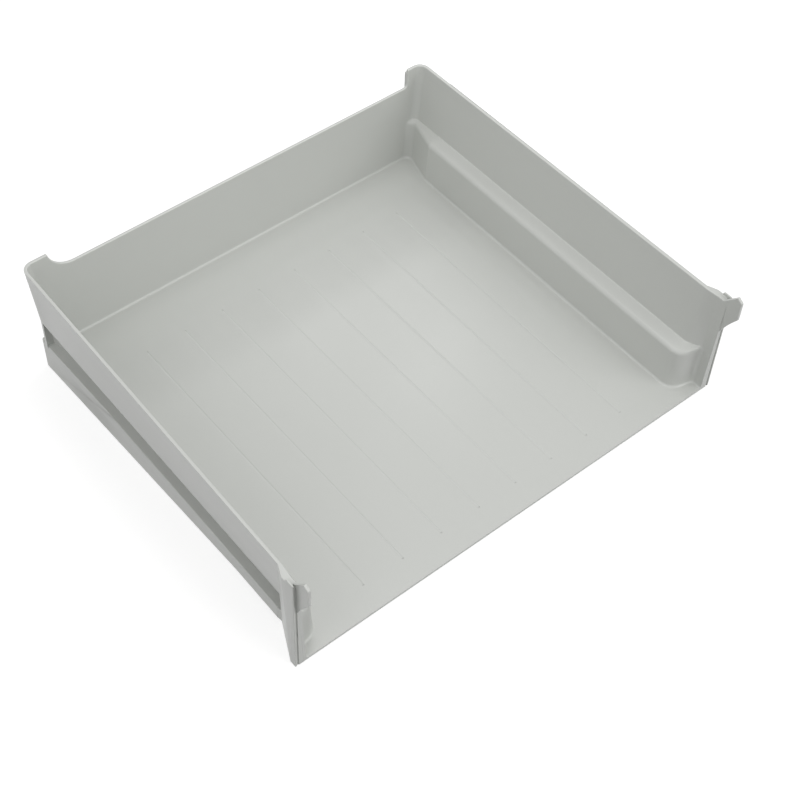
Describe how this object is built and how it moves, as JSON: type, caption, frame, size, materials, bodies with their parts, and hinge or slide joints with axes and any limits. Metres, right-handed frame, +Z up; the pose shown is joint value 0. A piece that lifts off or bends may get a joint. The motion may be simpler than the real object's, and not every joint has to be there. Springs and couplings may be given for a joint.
{
  "type": "refrigerator drawer",
  "caption": "Wide shallow refrigerator drawer tray, open at the front, with stepped side walls, runner grooves outside and hooks for a clip-on front panel.",
  "frame": {"origin": "on the plane the tray stands on, under the middle of its overall box", "axes": "+X to the right seen from the open front, +Y from the open front to the back wall, +Z up"},
  "size_m": [0.44, 0.401, 0.1254],
  "materials": {
    "tray_plastic": "satin pale grey-white moulded plastic"
  },
  "bodies": {
    "root": {"drawer_tray": "tray_plastic"}
  },
  "joints": []
}
